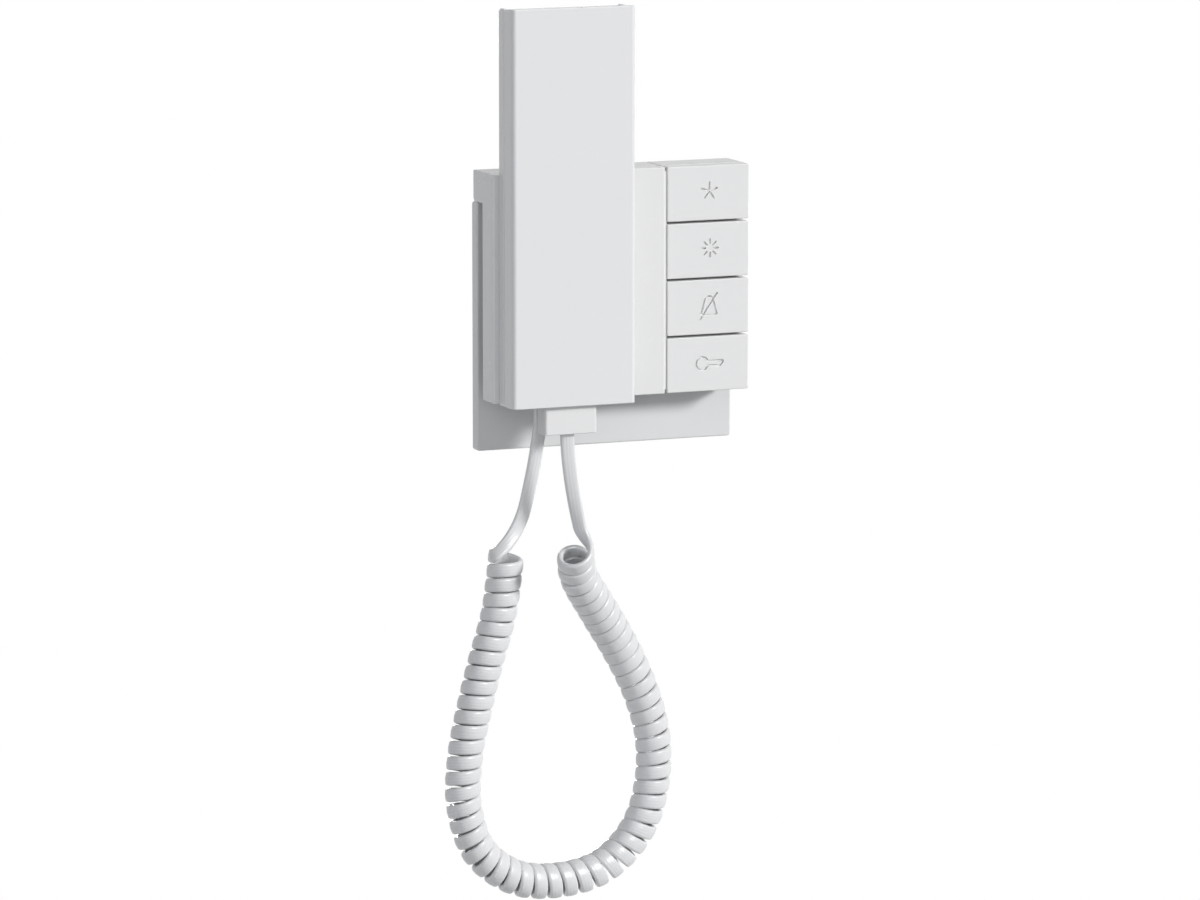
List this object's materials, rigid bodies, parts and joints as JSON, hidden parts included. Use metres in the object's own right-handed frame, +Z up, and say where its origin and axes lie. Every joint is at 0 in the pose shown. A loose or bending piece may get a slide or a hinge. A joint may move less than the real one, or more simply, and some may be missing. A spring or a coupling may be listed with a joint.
{
  "type": "slimline wall handset station",
  "caption": "Wall-mounted door-entry handset station: slim handset hung on a base with a column of push buttons, curly cord hanging below.",
  "frame": {"origin": "centre of the back of the wall bracket, on the wall plane", "axes": "+X to the right seen from the room, +Y into the wall, +Z up"},
  "size_m": [0.1134, 0.0343, 0.3261],
  "materials": {
    "frame_gloss": "white gloss moulding",
    "cover_gloss": "white gloss moulding",
    "button_gloss": "white gloss moulding with engraved signs",
    "handset_gloss": "white gloss moulding",
    "cord_block_satin": "white satin moulding",
    "white_satin": "white satin moulding",
    "grey_plastic": "grey glass-filled plastic",
    "black_plastic": "black plastic",
    "circuit_board": "green solder mask",
    "black_rubber": "moulded rubber",
    "grey_foam": "closed-cell foam",
    "switch_glass": "clear glass",
    "cord_white": "soft white PVC",
    "steel": "zinc-plated steel"
  },
  "bodies": {
    "base": {"base_cord_grommet": "cord_white", "base_cover": "cover_gloss", "base_tray": "grey_plastic", "board_screw_1": "steel", "board_screw_2": "steel", "board_screw_3": "steel", "button_housing": "cover_gloss", "control_chip": "black_plastic", "cord_coil": "cord_white", "cord_connector": "white_satin", "cord_tail_base": "cord_white", "cover_screw": "steel", "insert_screw_1": "steel", "insert_screw_2": "steel", "line_capacitor": "steel", "line_choke": "black_plastic", "main_board": "circuit_board", "mounting_insert": "grey_plastic", "reed_switch": "switch_glass", "sounder": "black_plastic", "switch_body_1": "black_plastic", "switch_body_2": "black_plastic", "switch_body_3": "black_plastic", "switch_body_4": "black_plastic", "terminal_block": "white_satin", "tray_screw_1": "steel", "tray_screw_2": "steel", "wall_bracket": "steel", "wall_frame": "frame_gloss"},
    "handset": {"cord_tail_handset": "cord_white", "earpiece_capsule": "black_plastic", "earpiece_gasket": "grey_foam", "handset_board": "circuit_board", "handset_cord_block": "cord_block_satin", "handset_front_shell": "handset_gloss", "handset_rear_shell": "handset_gloss", "handset_screw_1": "steel", "handset_screw_2": "steel", "handset_weight": "steel", "hook_magnet": "steel", "microphone_boot": "black_rubber", "microphone_capsule": "steel"},
    "button_1": {"button_cap_1": "button_gloss", "switch_stem_1": "black_plastic"},
    "button_2": {"button_cap_2": "button_gloss", "switch_stem_2": "black_plastic"},
    "button_3": {"button_cap_3": "button_gloss", "switch_stem_3": "black_plastic"},
    "button_4": {"button_cap_4": "button_gloss", "switch_stem_4": "black_plastic"}
  },
  "joints": [
    {"name": "handset_lift", "type": "slide", "parent": "base", "child": "handset", "axis": [0, -0.7071, 0.7071], "range_m": [0, 0.06]},
    {"name": "button_1_press", "type": "slide", "parent": "base", "child": "button_1", "axis": [0, 1, 0], "range_m": [0, 0.0005], "stiffness_N_per_m": 1500, "springref_m": -0.0005},
    {"name": "button_2_press", "type": "slide", "parent": "base", "child": "button_2", "axis": [0, 1, 0], "range_m": [0, 0.0005], "stiffness_N_per_m": 1500, "springref_m": -0.0005},
    {"name": "button_3_press", "type": "slide", "parent": "base", "child": "button_3", "axis": [0, 1, 0], "range_m": [0, 0.0005], "stiffness_N_per_m": 1500, "springref_m": -0.0005},
    {"name": "button_4_press", "type": "slide", "parent": "base", "child": "button_4", "axis": [0, 1, 0], "range_m": [0, 0.0005], "stiffness_N_per_m": 1500, "springref_m": -0.0005}
  ]
}
